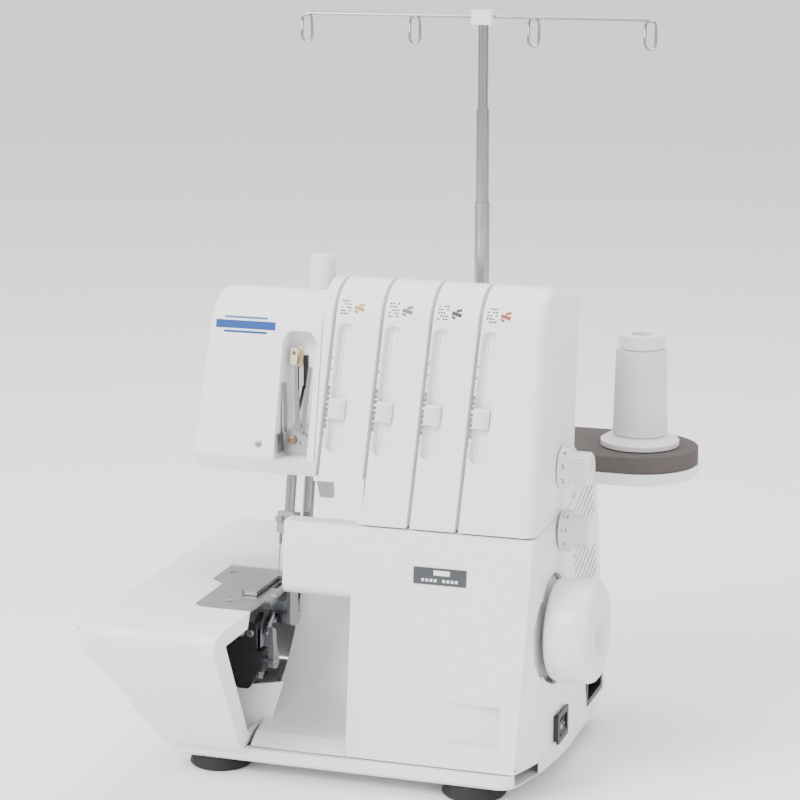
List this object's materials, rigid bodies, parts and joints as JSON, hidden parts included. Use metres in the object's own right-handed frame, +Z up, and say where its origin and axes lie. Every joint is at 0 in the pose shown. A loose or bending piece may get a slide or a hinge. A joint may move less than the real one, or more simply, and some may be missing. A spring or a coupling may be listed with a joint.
{
  "type": "serger overlock machine",
  "caption": "White table-top overlock sewing machine with leaning tension tower, needle head, hollow cloth plate, opening front cover and a telescopic thread stand.",
  "frame": {"origin": "on the floor under the middle of the whole machine", "axes": "+X to the operator's right, +Y to the rear, +Z up"},
  "size_m": [0.316, 0.295, 0.4553],
  "materials": {
    "shell_white": "satin",
    "control_white": "satin",
    "black_plastic": "satin",
    "lever_grey": "satin",
    "badge_grey": "satin",
    "foot_rubber": "matte",
    "belt_rubber": "matte",
    "grey_foam": "matte",
    "screw_steel": "satin",
    "brushed_steel": "brushed",
    "polished_steel": "polished",
    "pole_chrome": "polished",
    "motor_steel": "satin",
    "motor_alloy": "satin",
    "cast_frame": "matte",
    "bronze": "satin",
    "eyelet_brass": "polished",
    "spool_white": "satin",
    "thread_white": "matte"
  },
  "bodies": {
    "machine": {"base_plate": "shell_white", "bed_cover": "shell_white", "cloth_plate_hinge": "polished_steel", "drive_belt": "belt_rubber", "foam_pad": "grey_foam", "head_cover": "shell_white", "looper_plate": "black_plastic", "lower_knife": "polished_steel", "machine_frame": "cast_frame", "motor": "motor_steel", "needle_plate": "brushed_steel", "pivot_pins": "polished_steel", "pole_outer_tube": "pole_chrome", "power_inlet": "black_plastic", "rear_cover": "shell_white", "rubber_feet": "foot_rubber", "screws": "screw_steel", "shaft_bushes": "bronze", "side_cover": "shell_white", "spool_pins": "control_white", "spool_tray": "shell_white", "switch_bezel": "black_plastic", "tension_cover": "shell_white", "tension_discs": "polished_steel", "thread_eyelet": "eyelet_brass", "thread_guide_plate": "brushed_steel", "waste_chute": "shell_white"},
    "drive_shaft": {"main_shaft": "polished_steel", "handwheel": "control_white", "shaft_pulley": "motor_alloy"},
    "motor_rotor": {"motor_pulley": "motor_alloy"},
    "needle_drive": {"needle_bar": "polished_steel", "needle_clamp": "brushed_steel", "needle_clamp_screws": "screw_steel", "needles": "polished_steel"},
    "presser": {"presser_bar": "polished_steel", "presser_foot": "brushed_steel"},
    "lifter": {"presser_lifter": "lever_grey"},
    "spring_knob": {"pressure_knob": "control_white"},
    "cutting_knife": {"upper_knife": "polished_steel"},
    "feeder": {"feed_dog": "brushed_steel"},
    "looper_upper": {"upper_looper": "polished_steel"},
    "looper_lower": {"lower_looper": "polished_steel"},
    "take_up": {"take_up_lever": "polished_steel"},
    "cover_carrier": {"front_cover_pin": "polished_steel"},
    "looper_door": {"front_cover": "shell_white"},
    "cloth_table": {"cloth_plate": "shell_white"},
    "stitch_control": {"stitch_length_dial": "control_white"},
    "feed_control": {"differential_dial": "control_white"},
    "power_rocker": {"switch_rocker": "black_plastic"},
    "pole_middle": {"pole_middle_tube": "pole_chrome"},
    "pole_top": {"pole_top_tube": "pole_chrome"},
    "guide_arm": {"guide_hub": "control_white", "thread_guide": "pole_chrome"},
    "thread_spool": {"spool_core": "spool_white", "spool_thread": "thread_white"},
    "tension_1": {"tension_slider_1": "control_white"},
    "tension_2": {"tension_slider_2": "control_white"},
    "tension_3": {"tension_slider_3": "control_white"},
    "tension_4": {"tension_slider_4": "control_white"}
  },
  "joints": [
    {"name": "handwheel_turn", "type": "hinge", "parent": "machine", "child": "drive_shaft", "pos_m": [0, -0.014, 0.096], "axis": [1, 0, 0], "continuous": true},
    {"name": "motor_turn", "type": "hinge", "parent": "machine", "child": "motor_rotor", "pos_m": [0, 0.062, 0.062], "axis": [1, 0, 0], "continuous": true},
    {"name": "needle_bar_stroke", "type": "slide", "parent": "machine", "child": "needle_drive", "axis": [0, 0.2079, 0.9781], "range_m": [-0.02, 0.008]},
    {"name": "presser_foot_lift", "type": "slide", "parent": "machine", "child": "presser", "axis": [0, 0.2079, 0.9781], "range_m": [0, 0.006]},
    {"name": "presser_lifter_swing", "type": "hinge", "parent": "machine", "child": "lifter", "pos_m": [0, 0.0159, 0.176], "axis": [1, 0, 0], "range_deg": [0, 30]},
    {"name": "presser_pressure_turn", "type": "hinge", "parent": "machine", "child": "spring_knob", "pos_m": [-0.06, 0.01286, 0.284], "axis": [0, 0.2079, 0.9781], "range_deg": [-180, 180]},
    {"name": "upper_knife_swing", "type": "hinge", "parent": "machine", "child": "cutting_knife", "pos_m": [0, 0.002, 0.136], "axis": [1, 0, 0], "range_deg": [-14, 1]},
    {"name": "feed_dog_travel", "type": "slide", "parent": "machine", "child": "feeder", "axis": [0, 1, 0], "range_m": [-0.0015, 0.0015]},
    {"name": "upper_looper_swing", "type": "hinge", "parent": "machine", "child": "looper_upper", "pos_m": [0, -0.05, 0.07], "axis": [1, 0, 0], "range_deg": [-8, 8]},
    {"name": "lower_looper_swing", "type": "hinge", "parent": "machine", "child": "looper_lower", "pos_m": [0, -0.044, 0.06], "axis": [1, 0, 0], "range_deg": [-8, 8]},
    {"name": "take_up_swing", "type": "hinge", "parent": "machine", "child": "take_up", "pos_m": [-0.059, -0.02865, 0.21282], "axis": [0, -0.9781, 0.2079], "range_deg": [-6, 6]},
    {"name": "front_cover_shift", "type": "slide", "parent": "machine", "child": "cover_carrier", "axis": [1, 0, 0], "range_m": [0, 0.004], "stiffness_N_per_m": 150},
    {"name": "front_cover_open", "type": "hinge", "parent": "cover_carrier", "child": "looper_door", "pos_m": [0, -0.065, 0.0226], "axis": [1, 0, 0], "range_deg": [0, 75]},
    {"name": "cloth_plate_open", "type": "hinge", "parent": "machine", "child": "cloth_table", "pos_m": [-0.1525, -0.009, 0], "axis": [0, 0, -1], "range_deg": [0, 60]},
    {"name": "stitch_length_turn", "type": "hinge", "parent": "machine", "child": "stitch_control", "pos_m": [0, 0.0095, 0.19], "axis": [1, 0, 0], "range_deg": [-135, 135]},
    {"name": "differential_turn", "type": "hinge", "parent": "machine", "child": "feed_control", "pos_m": [0, 0.0095, 0.151], "axis": [1, 0, 0], "range_deg": [-120, 120]},
    {"name": "power_switch", "type": "hinge", "parent": "machine", "child": "power_rocker", "pos_m": [0.099, -0.011, 0.0345], "axis": [0, 1, 0], "range_deg": [-6, 6]},
    {"name": "tension_1_slide", "type": "slide", "parent": "machine", "child": "tension_1", "axis": [0.0523, 0.2076, 0.9768], "range_m": [-0.018, 0.03]},
    {"name": "tension_2_slide", "type": "slide", "parent": "machine", "child": "tension_2", "axis": [0.0523, 0.2076, 0.9768], "range_m": [-0.018, 0.03]},
    {"name": "tension_3_slide", "type": "slide", "parent": "machine", "child": "tension_3", "axis": [0.0523, 0.2076, 0.9768], "range_m": [-0.018, 0.03]},
    {"name": "tension_4_slide", "type": "slide", "parent": "machine", "child": "tension_4", "axis": [0.0523, 0.2076, 0.9768], "range_m": [-0.018, 0.03]},
    {"name": "pole_middle_slide", "type": "slide", "parent": "machine", "child": "pole_middle", "axis": [0, 0, 1], "range_m": [-0.055, 0]},
    {"name": "pole_top_slide", "type": "slide", "parent": "pole_middle", "child": "pole_top", "axis": [0, 0, 1], "range_m": [-0.05, 0]},
    {"name": "thread_guide_swivel", "type": "hinge", "parent": "pole_top", "child": "guide_arm", "pos_m": [0.0145, 0.1095, 0], "axis": [0, 0, 1], "range_deg": [-90, 90]},
    {"name": "spool_lift", "type": "slide", "parent": "machine", "child": "thread_spool", "axis": [0, 0, 1], "range_m": [0, 0.07]}
  ],
  "couplings": [
    {"joint": "motor_turn", "follows": "handwheel_turn", "ratio": 2.6667}
  ]
}
